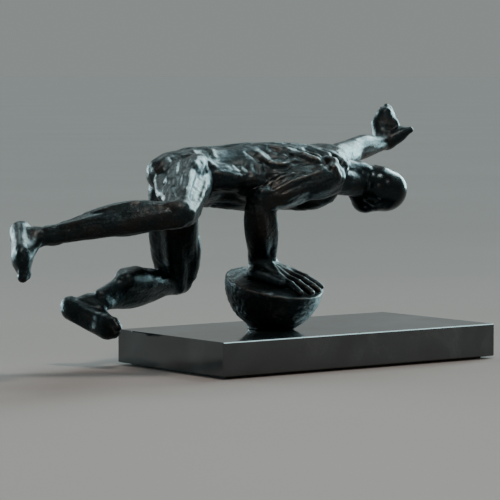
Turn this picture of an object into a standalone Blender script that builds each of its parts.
"""Figure trophy: a bronze athlete balanced on one hand, on a half-sphere and a marble slab.

Frame: metres, +Z up. The origin is the centre of the slab's footprint, on the surface the
trophy stands on. +X runs along the slab's length, towards the figure's head.
Lengths below are written in millimetres and turned into metres by mm().
The figure is cast in sections. Each section ends in a rounded root that sits in a socket
of its neighbour, and a steel dowel runs across the seam.
"""
import math

import bmesh
import bpy
from mathutils import Matrix, Vector

# ---- driving dimensions, millimetres ----
FIT_GAP = 0.3
SLAB_LENGTH, SLAB_WIDTH, SLAB_HEIGHT = 312.0, 162.0, 30.0
SLAB_ARRIS = 0.8
FELT_THICKNESS = 2.5
FELT_INSET = 9.0

BALL_RADIUS = 45.0
BALL_CENTRE = (-41.0, -2.5, 75.0)
BALL_NORMAL = (0.02, -0.26, 0.965)
BALL_FOOT_RADIUS, BALL_FOOT_FLARE, BALL_FOOT_HEIGHT = 21.0, 3.0, 9.0
BALL_FOOT_CENTRE = (-42.0, 2.0)
BALL_LIP = 1.0

STUD_RADIUS = 3.0
STUD_ROOM = 0.5
STUD_PLACE = (-44.0, 11.0)
STUD_TOP = 104.0
COUNTERBORE_RADIUS, COUNTERBORE_DEPTH = 10.0, 11.0
NUT_ACROSS_CORNERS, NUT_HEIGHT = 11.5, 5.0
WASHER_RADIUS, WASHER_THICKNESS = 8.0, 1.5
SPRING_WASHER_RADIUS = 5.2
BASE_DOWEL_RADIUS, BASE_DOWEL_OFFSET = 2.5, 11.0
BASE_DOWEL_BELOW, BASE_DOWEL_ABOVE = 10.0, 12.0
PALM_DOWEL_RADIUS, PALM_DOWEL_PLACE = 2.0, (-30.0, 1.0)
PALM_DOWEL_BELOW, PALM_DOWEL_ABOVE = 8.0, 5.5

# The figure's joints.
WRIST_R = (-42, 15, 93)
ELBOW_R = (-67, -11, 151)
SHOULDER_R = (12, -17, 170)
SHOULDER_ROOT_R = (22, 8, 172)
SHOULDER_L = (76, 56, 183)
ELBOW_L = (133, 100, 191)
WRIST_L = (201, 134, 196)
NECK = (51, 15, 181)
SKULL = (91, 8, 156)
HIP_R = (-119, 19, 172)
HIP_L = (-105, 68, 171)
KNEE_R = (-187, -58, 144)
ANKLE_R = (-279, 7, 125)
HEEL_R = (-294, 31, 130)
TOE_R = (-320, -18, 99)
KNEE_L = (-72, 106, 73)
ANKLE_L = (-180, 76, 58)
HEEL_L = (-202, 97, 54)
TOE_L = (-176, 44, 32)
SPINE_AXIS = (0.99, -0.14, 0.04)
SIDE_AXIS = (0.25, 0.95, 0.17)
CROWN_AXIS = (0.93, -0.12, -0.28)

# The supporting hand, from the index finger to the little finger.
KNUCKLES_R = ((-18, 0, 82.5), (-26, -5, 81.5), (-34, -10, 79.5), (-41, -14, 77))
FINGERTIPS_R = ((-8, -29, 71), (-18, -38, 69), (-29, -42, 67.5), (-40, -40, 67.5))
FINGER_ARCH = 1.6

SLAB_TOP = FELT_THICKNESS + SLAB_HEIGHT


def mm(value):
    """Millimetres to metres, for a number or a point."""
    if isinstance(value, (int, float)):
        return value * 0.001
    return Vector(value) * 0.001


def clear_scene():
    for old in list(bpy.data.objects):
        bpy.data.objects.remove(old, do_unlink=True)


def make_material(name, colour, roughness, metallic):
    material = bpy.data.materials.new(name)
    material.use_nodes = True
    shader = material.node_tree.nodes["Principled BSDF"]
    shader.inputs["Base Color"].default_value = (*colour, 1.0)
    shader.inputs["Roughness"].default_value = roughness
    shader.inputs["Metallic"].default_value = metallic
    material.diffuse_color = (*colour, 1.0)
    return material


def make_object(name, work, material=None):
    """Turn a bmesh into an object. With no material it is a hidden cutter."""
    mesh = bpy.data.meshes.new(name)
    bmesh.ops.recalc_face_normals(work, faces=work.faces)
    work.to_mesh(mesh)
    work.free()
    thing = bpy.data.objects.new(name, mesh)
    bpy.context.collection.objects.link(thing)
    if material is None:
        hide(thing)
    else:
        mesh.materials.append(material)
    return thing


def hide(thing):
    thing.hide_render = True
    thing.display_type = "WIRE"


def cut(thing, cutter, operation="DIFFERENCE"):
    boolean = thing.modifiers.new("cut", "BOOLEAN")
    boolean.operation = operation
    boolean.solver = "EXACT"
    boolean.object = cutter


def shade(thing, angle=40.0):
    thing.data.shade_smooth()
    thing.data.set_sharp_from_angle(angle=math.radians(angle))


# ---- base, half-sphere and fixings ----

def box(work, low, high):
    centre = (Vector(low) + Vector(high)) / 2
    size = Vector(high) - Vector(low)
    place = Matrix.Translation(mm(centre)) @ Matrix.Diagonal((*mm(size), 1.0))
    bmesh.ops.create_cube(work, size=1.0, matrix=place)


def rod(work, start, end, radius, sides=20, end_radius=None):
    """A cylinder or cone between two points."""
    start, end = mm(start), mm(end)
    run = end - start
    turn = run.to_track_quat("Z", "Y").to_matrix().to_4x4()
    place = Matrix.Translation((start + end) / 2) @ turn
    top = radius if end_radius is None else end_radius
    bmesh.ops.create_cone(
        work, cap_ends=True, segments=sides, radius1=mm(radius), radius2=mm(top),
        depth=run.length, matrix=place)


def drill(name, start, end, radius, sides=20):
    """A hidden cylinder that cuts a hole."""
    work = bmesh.new()
    rod(work, start, end, radius, sides)
    return make_object(name, work)


def build_slab(marble):
    work = bmesh.new()
    half_length, half_width = SLAB_LENGTH / 2, SLAB_WIDTH / 2
    box(work, (-half_length, -half_width, FELT_THICKNESS), (half_length, half_width, SLAB_TOP))
    slab = make_object("marble_slab", work, marble)
    arris = slab.modifiers.new("arris", "BEVEL")
    arris.width = mm(SLAB_ARRIS)
    arris.segments = 1
    x, y = STUD_PLACE
    below = FELT_THICKNESS - 1
    cut(slab, drill("stud_hole", (x, y, below), (x, y, SLAB_TOP + 1), STUD_RADIUS + STUD_ROOM))
    ceiling = FELT_THICKNESS + COUNTERBORE_DEPTH
    cut(slab, drill("nut_recess", (x, y, below), (x, y, ceiling), COUNTERBORE_RADIUS, 28))
    return slab


def build_felt(felt):
    work = bmesh.new()
    half_length, half_width = SLAB_LENGTH / 2 - FELT_INSET, SLAB_WIDTH / 2 - FELT_INSET
    box(work, (-half_length, -half_width, 0), (half_length, half_width, FELT_THICKNESS - FIT_GAP))
    return make_object("felt_sheet", work, felt)


def ball_basis():
    """The half-sphere's turn: its own +Z is the normal of its flat top."""
    return Vector(BALL_NORMAL).to_track_quat("Z", "X").to_matrix().to_4x4()


def ball_top_height(x, y):
    """Height of the tilted flat top over the point x, y."""
    cx, cy, cz = BALL_CENTRE
    nx, ny, nz = BALL_NORMAL
    return cz - (nx * (x - cx) + ny * (y - cy)) / nz


def build_half_sphere(bronze):
    """A turned bowl-shaped solid with a flat top, standing on a short flared foot."""
    work = bmesh.new()
    profile = [Vector((0.0, 0.0, 0.0)), Vector((mm(BALL_RADIUS - BALL_LIP), 0.0, 0.0))]
    steps = 12
    for step in range(steps + 1):
        angle = math.radians(2.0 + 88.0 * step / steps)
        radius = mm(BALL_RADIUS)
        profile.append(Vector((radius * math.cos(angle), 0.0, -radius * math.sin(angle))))
    points = [work.verts.new(point) for point in profile]
    edges = [work.edges.new(pair) for pair in zip(points, points[1:])]
    bmesh.ops.spin(
        work, geom=points + edges, cent=(0, 0, 0), axis=(0, 0, 1),
        angle=math.tau, steps=40, use_duplicate=False)
    bmesh.ops.remove_doubles(work, verts=work.verts, dist=0.00001)
    bmesh.ops.transform(
        work, matrix=Matrix.Translation(mm(BALL_CENTRE)) @ ball_basis(), verts=work.verts)
    ball = make_object("half_sphere", work, bronze)
    x, y = BALL_FOOT_CENTRE
    foot = bmesh.new()
    base = SLAB_TOP + FIT_GAP
    rod(
        foot, (x, y, base), (x, y, base + BALL_FOOT_HEIGHT), BALL_FOOT_RADIUS, 40,
        BALL_FOOT_RADIUS + BALL_FOOT_FLARE)
    cut(ball, make_object("ball_foot", foot), "UNION")
    floor = bmesh.new()
    reach = BALL_RADIUS * 1.3
    box(floor, (x - reach, y - reach, 0), (x + reach, y + reach, base))
    cut(ball, make_object("ball_floor", floor))
    shade(ball)
    return ball


def build_stud(steel):
    work = bmesh.new()
    x, y = STUD_PLACE
    rod(work, (x, y, FELT_THICKNESS + 2), (x, y, STUD_TOP), STUD_RADIUS, 16)
    stud = make_object("mounting_stud", work, steel)
    shade(stud)


def ring(name, material, outer, hole, low, high, sides):
    work = bmesh.new()
    x, y = STUD_PLACE
    rod(work, (x, y, low), (x, y, high), outer, sides)
    piece = make_object(name, work, material)
    cut(piece, drill(name + "_hole", (x, y, low - 1), (x, y, high + 1), hole, 16))
    shade(piece, 30)


def build_stud_fixings(steel):
    """Flat washer, spring washer and nut, from the recess's ceiling down."""
    top = FELT_THICKNESS + COUNTERBORE_DEPTH - FIT_GAP
    hole = STUD_RADIUS + FIT_GAP
    low = top - WASHER_THICKNESS
    ring("flat_washer", steel, WASHER_RADIUS, hole, low, top, 24)
    top = low - FIT_GAP
    low = top - WASHER_THICKNESS
    ring("spring_washer", steel, SPRING_WASHER_RADIUS, hole, low, top, 20)
    top = low - FIT_GAP
    ring("stud_nut", steel, NUT_ACROSS_CORNERS / 2, hole, top - NUT_HEIGHT, top, 6)


def peg(name, start, end, radius, steel, *parts):
    """A steel dowel, and its hole in each part that it enters."""
    work = bmesh.new()
    rod(work, start, end, radius, 12)
    shade(make_object(name, work, steel))
    along = (Vector(end) - Vector(start)).normalized()
    room = FIT_GAP * 1.5
    hole = drill(
        name + "_hole", Vector(start) - along * room, Vector(end) + along * room,
        radius + FIT_GAP, 12)
    for part in parts:
        cut(part, hole)


# ---- the figure ----

def lump(work, start, end, start_radius, end_radius, flat=1.0, side=None):
    """A muscle: two round ends joined by a straight taper, flattened across its side axis."""
    start, end = mm(start), mm(end)
    run = end - start
    along = run.normalized()
    reference = Vector(side) if side is not None else along.orthogonal()
    across = (reference - along * reference.dot(along)).normalized()
    depth = along.cross(across)
    radii = (mm(start_radius), mm(end_radius))
    made = bmesh.ops.create_uvsphere(work, u_segments=20, v_segments=14, radius=1.0)
    for vert in made["verts"]:
        upper = vert.co.z > 1e-6
        radius = radii[1] if upper else radii[0]
        centre = end if upper else start
        point = vert.co * radius
        vert.co = centre + across * point.x + depth * point.y * flat + along * point.z


def mass(work, centre, half_sizes, along=SPINE_AXIS, side=SIDE_AXIS):
    """An ellipsoid: half sizes along its axis, across it, and through it."""
    along = Vector(along).normalized()
    across = Vector(side)
    across = (across - along * across.dot(along)).normalized()
    depth = along.cross(across)
    turn = Matrix((along, across, depth)).transposed().to_4x4()
    sizes = Matrix.Diagonal((*mm(half_sizes), 1.0))
    bmesh.ops.create_uvsphere(
        work, u_segments=24, v_segments=16, radius=1.0,
        matrix=Matrix.Translation(mm(centre)) @ turn @ sizes)


def between(start, end, share):
    return Vector(start).lerp(Vector(end), share)


def cast_section(name, work, bronze, voxel, keep):
    """Fuse a section's lumps into one skin, and thin it out."""
    section = make_object(name, work, bronze)
    fuse = section.modifiers.new("fuse", "REMESH")
    fuse.mode = "VOXEL"
    fuse.voxel_size = mm(voxel)
    fuse.use_smooth_shade = True
    soften = section.modifiers.new("soften", "SMOOTH")
    soften.iterations = 4
    thin = section.modifiers.new("thin", "DECIMATE")
    thin.ratio = keep
    thin.use_collapse_triangulate = True
    return section


def grown_copy(section):
    """The section's skin moved out by the fit gap, to cut its neighbour's socket."""
    copy = section.copy()
    copy.name = section.name + "_socket"
    bpy.context.collection.objects.link(copy)
    hide(copy)
    grow = copy.modifiers.new("grow", "DISPLACE")
    grow.mid_level = 0.0
    grow.strength = mm(FIT_GAP)
    return copy


def sculpt_torso(bronze):
    work = bmesh.new()
    mass(work, (-102, 42, 171), (30, 42, 26))
    mass(work, (-66, 38, 172), (44, 38, 27))
    mass(work, (-5, 27, 168), (58, 44, 29))
    lump(work, (-100, 40, 180), (-20, 28, 184), 16, 16)
    mass(work, (30, 20, 172), (30, 45, 22))
    mass(work, (20, 2, 153), (26, 22, 15))
    mass(work, (36, 34, 155), (26, 22, 15))
    mass(work, (-129, 25, 176), (24, 23, 22))
    mass(work, (-98, 62, 175), (23, 23, 22))
    lump(work, (-142, 26, 175), (-136, 14, 166), 15, 15)
    lump(work, (-104, 66, 172), (-100, 74, 158), 21, 20)
    lump(work, HIP_R, between(HIP_R, KNEE_R, 0.34), 26, 24)
    lump(work, HIP_L, between(HIP_L, KNEE_L, 0.34), 26, 24)
    lump(work, (25, 18, 180), between(NECK, SKULL, 0.4), 17, 12.5)
    lump(work, (30, 10, 184), SHOULDER_R, 12, 15)
    lump(work, (40, 30, 186), SHOULDER_L, 13, 15)
    lump(work, (-45, 8, 172), (5, -14, 168), 10, 13)
    lump(work, (-35, 62, 176), (45, 62, 176), 10, 14)
    return cast_section("torso", work, bronze, 2.6, 0.045)


def sculpt_head(bronze):
    work = bmesh.new()
    lump(work, between(NECK, SKULL, 0.5), between(NECK, SKULL, 0.8), 12, 12.5)
    mass(work, SKULL, (24.5, 20, 21), along=CROWN_AXIS, side=(0.1, 1, 0))
    lump(work, (79, 10, 154), (69, 14, 151), 14, 8.5)
    return cast_section("head", work, bronze, 2.0, 0.09)


def sculpt_upper_arm_right(bronze):
    work = bmesh.new()
    lump(work, between(SHOULDER_R, ELBOW_R, 0.04), between(SHOULDER_R, ELBOW_R, 0.35), 16.5, 14)
    lump(work, between(SHOULDER_R, ELBOW_R, 0.3), between(SHOULDER_R, ELBOW_R, 0.72), 14, 13)
    lump(work, between(SHOULDER_R, ELBOW_R, 0.6), ELBOW_R, 12, 11.5)
    return cast_section("right_upper_arm", work, bronze, 2.0, 0.06)


def sculpt_forearm_right(bronze):
    work = bmesh.new()
    lump(work, between(ELBOW_R, WRIST_R, 0.16), between(ELBOW_R, WRIST_R, 0.45), 15, 17)
    lump(work, between(ELBOW_R, WRIST_R, 0.4), between(ELBOW_R, WRIST_R, 0.93), 17, 11)
    return cast_section("right_forearm", work, bronze, 1.8, 0.06)


def fingers(work, roots, middles, tips, radius):
    for root, middle, tip in zip(roots, middles, tips):
        lump(work, root, middle, radius, radius * 0.92)
        lump(work, middle, tip, radius * 0.92, radius * 0.75)


def fan(centre, run, side, spread, count=4):
    """Evenly spaced points across a hand, from the index finger to the little finger."""
    points = []
    for index in range(count):
        share = index / (count - 1) - 0.5
        points.append(Vector(centre) + Vector(run) + Vector(side) * share * spread)
    return points


def sculpt_hand_right(bronze):
    """Palm down on the half-sphere's flat top, its finger tips over the near rim."""
    work = bmesh.new()
    heel = (-45, 10, 86)
    lump(work, between(WRIST_R, ELBOW_R, 0.06), heel, 11.5, 11.5)
    lump(work, (-53, 10, 82), (-44, -14, 76), 8.5, 7)
    lump(work, (-40, 14, 86), (-28, 4, 82), 9, 7.5)
    middles = []
    for knuckle, tip in zip(KNUCKLES_R, FINGERTIPS_R):
        lump(work, heel, knuckle, 8, 5)
        middles.append(between(knuckle, tip, 0.5) + Vector((0, 0, FINGER_ARCH)))
    fingers(work, KNUCKLES_R, middles, FINGERTIPS_R, 3.9)
    lump(work, (-42, 20, 88), (-30, 28, 85), 6, 4.6)
    lump(work, (-30, 28, 85), (-18, 27, 82), 4.6, 3.4)
    hand = cast_section("support_hand", work, bronze, 1.3, 0.08)
    rest = bmesh.new()
    box(rest, (-70, -70, -40), (70, 70, 0))
    lifted = Vector(BALL_CENTRE) + Vector(BALL_NORMAL).normalized() * FIT_GAP
    place = Matrix.Translation(mm(lifted)) @ ball_basis()
    bmesh.ops.transform(rest, matrix=place, verts=rest.verts)
    cut(hand, make_object("hand_rest", rest))
    return hand


def sculpt_arm_left(bronze):
    work = bmesh.new()
    lump(work, between(SHOULDER_L, ELBOW_L, 0.05), between(SHOULDER_L, ELBOW_L, 0.4), 16, 14)
    lump(work, between(SHOULDER_L, ELBOW_L, 0.35), ELBOW_L, 13.5, 11.5)
    lump(work, ELBOW_L, between(ELBOW_L, WRIST_L, 0.35), 11.5, 12.5)
    lump(work, between(ELBOW_L, WRIST_L, 0.3), between(ELBOW_L, WRIST_L, 0.95), 12, 7.5)
    return cast_section("left_arm", work, bronze, 2.0, 0.07)


def sculpt_hand_left(bronze):
    work = bmesh.new()
    side = Vector((0.62, -0.78, 0.0))
    knuckle = (210, 140, 215)
    lump(work, WRIST_L, (206, 137, 204), 8, 8)
    lump(work, (206, 137, 205), knuckle, 7.5, 7, flat=1.7, side=(0.8, 0.6, 0))
    fingers(
        work, fan(knuckle, (0, 0, 1), side, 18), fan(knuckle, (7, 6, 8), side, 15),
        fan(knuckle, (15, 12, 13), side, 9), 3.5)
    lump(work, (203, 130, 197), (213, 125, 203), 8, 6)
    lump(work, (213, 125, 203), (221.5, 119.5, 208), 6, 3.3)
    return cast_section("raised_hand", work, bronze, 1.3, 0.09)


def sculpt_thigh(name, hip, knee, front, bulk, bronze):
    work = bmesh.new()
    forward = Vector(front).normalized()
    lump(work, between(hip, knee, 0.4), between(hip, knee, 0.62), 23, 20.5 * bulk)
    lump(work, between(hip, knee, 0.55), between(hip, knee, 0.97), 20 * bulk, 15.5 * bulk)
    lump(work, between(hip, knee, 0.45) + forward * 5, between(hip, knee, 0.86) + forward * 4, 18, 13)
    return cast_section(name, work, bronze, 2.2, 0.06)


def sculpt_lower_leg(name, knee, ankle, back, calf_low, calf_depth, bronze):
    """A shin, and a calf that bulges calf_depth behind it, calf_low of the way to the ankle."""
    work = bmesh.new()
    behind = Vector(back).normalized()
    lump(work, between(knee, ankle, 0.15), between(knee, ankle, 0.35), 14, 13.5)
    lump(work, between(knee, ankle, 0.3), between(knee, ankle, 0.95), 13, 8)
    belly = between(knee, ankle, calf_low)
    lump(work, between(knee, ankle, 0.22) + behind * 4, belly + behind * calf_depth, 13, 11)
    lump(work, belly + behind * 6, between(knee, ankle, 0.97) + behind * 3, 9.5, 5.5)
    return cast_section(name, work, bronze, 2.0, 0.07)


def sculpt_foot(name, ankle, heel, toe, bronze):
    work = bmesh.new()
    ankle, heel, toe = Vector(ankle), Vector(heel), Vector(toe)
    along = (toe - heel).normalized()
    up = (ankle - heel) - along * (ankle - heel).dot(along)
    across = along.cross(up).normalized()
    up = up.normalized()
    sole = heel + up * 1.5
    lump(work, ankle, ankle - up * 6, 8, 9)
    lump(work, sole + along * 5, sole + along * 14, 10.5, 9)
    lump(work, ankle - up * 2, sole + along * 42, 8.5, 6.5)
    lump(work, sole + along * 12, sole + along * 44, 7, 8, flat=1.6, side=up)
    for index in range(5):
        offset = across * (index - 2) * 5.0
        reach = 58 - abs(index - 1) * 2.2
        lump(work, sole + along * 44 + offset, sole + along * reach + offset, 4.8, 3.8)
    return cast_section(name, work, bronze, 1.5, 0.08)


def seam_dowel(name, parent, child, place, towards, length, radius, steel):
    direction = Vector(towards).normalized() * length / 2
    peg(name, Vector(place) - direction, Vector(place) + direction, radius, steel, parent, child)


def build_figure(bronze, steel, half_sphere):
    """Cast the sections, socket each in its neighbour, and pin them. Returns the hand."""
    torso = sculpt_torso(bronze)
    head = sculpt_head(bronze)
    upper_arm = sculpt_upper_arm_right(bronze)
    forearm = sculpt_forearm_right(bronze)
    hand = sculpt_hand_right(bronze)
    raised_arm = sculpt_arm_left(bronze)
    raised_hand = sculpt_hand_left(bronze)
    legs = {}
    bones = {
        "right": (HIP_R, KNEE_R, ANKLE_R, HEEL_R, TOE_R), "left": (HIP_L, KNEE_L, ANKLE_L, HEEL_L, TOE_L)}
    thighs = {"right": ((0.72, -0.68, 0.13), 1.0), "left": ((0.91, 0.18, 0.38), 1.15)}
    calves = {"right": ((0.42, 0.72, 0.55), 0.5, 9), "left": ((-0.05, -0.29, 0.95), 0.66, 13)}
    for side, (hip, knee, ankle, heel, toe) in bones.items():
        legs[side] = (
            sculpt_thigh(side + "_thigh", hip, knee, *thighs[side], bronze),
            sculpt_lower_leg(side + "_lower_leg", knee, ankle, *calves[side], bronze),
            sculpt_foot(side + "_foot", ankle, heel, toe, bronze),
        )
    joints = [
        ("neck_dowel", torso, head, between(NECK, SKULL, 0.27), NECK, SKULL, 20, 3.0),
        ("right_shoulder_dowel", torso, upper_arm, between(SHOULDER_R, SHOULDER_ROOT_R, 0.35),
         SHOULDER_R, SHOULDER_ROOT_R, 18, 3.0),
        ("right_elbow_dowel", upper_arm, forearm, between(ELBOW_R, WRIST_R, 0.0),
         ELBOW_R, WRIST_R, 14, 2.5),
        ("left_shoulder_dowel", torso, raised_arm, between(SHOULDER_L, ELBOW_L, -0.12),
         SHOULDER_L, ELBOW_L, 16, 3.0),
        ("left_wrist_dowel", raised_arm, raised_hand, WRIST_L, ELBOW_L, WRIST_L, 14, 2.0),
    ]
    for side, (hip, knee, ankle, *_) in bones.items():
        thigh, lower_leg, foot = legs[side]
        joints += [
            (side + "_hip_dowel", torso, thigh, between(hip, knee, 0.2), hip, knee, 26, 4.0),
            (side + "_knee_dowel", thigh, lower_leg, between(knee, ankle, 0.03), knee, ankle, 16, 3.0),
            (side + "_ankle_dowel", lower_leg, foot, between(knee, ankle, 0.93), knee, ankle, 12, 2.0),
        ]
    pairs = [(parent, child) for _, parent, child, *_ in joints] + [(forearm, hand)]
    sockets = {child.name: grown_copy(child) for _, child in pairs}
    for parent, child in pairs:
        cut(parent, sockets[child.name])
    for name, parent, child, place, start, end, length, radius in joints:
        run = Vector(end) - Vector(start)
        seam_dowel(name, parent, child, place, run, length, radius, steel)
    x, y = STUD_PLACE
    hole = drill("stud_bore", (x, y, SLAB_TOP - 1), (x, y, STUD_TOP + 0.5), STUD_RADIUS + FIT_GAP, 16)
    for part in (half_sphere, hand, forearm):
        cut(part, hole)
    return hand


def main():
    clear_scene()
    marble = make_material("black_marble", (0.012, 0.014, 0.015), 0.12, 0.0)
    felt = make_material("dark_felt", (0.02, 0.02, 0.022), 0.95, 0.0)
    bronze = make_material("patinated_bronze", (0.045, 0.042, 0.038), 0.32, 1.0)
    steel = make_material("plated_steel", (0.6, 0.6, 0.62), 0.35, 1.0)
    slab = build_slab(marble)
    build_felt(felt)
    half_sphere = build_half_sphere(bronze)
    build_stud(steel)
    build_stud_fixings(steel)
    hand = build_figure(bronze, steel, half_sphere)
    x, y = BALL_FOOT_CENTRE
    y -= BASE_DOWEL_OFFSET
    peg("base_dowel", (x, y, SLAB_TOP - BASE_DOWEL_BELOW), (x, y, SLAB_TOP + BASE_DOWEL_ABOVE),
        BASE_DOWEL_RADIUS, steel, slab, half_sphere)
    palm = Vector((*PALM_DOWEL_PLACE, ball_top_height(*PALM_DOWEL_PLACE)))
    upwards = Vector(BALL_NORMAL).normalized()
    peg("palm_dowel", palm - upwards * PALM_DOWEL_BELOW, palm + upwards * PALM_DOWEL_ABOVE,
        PALM_DOWEL_RADIUS, steel, half_sphere, hand)


main()
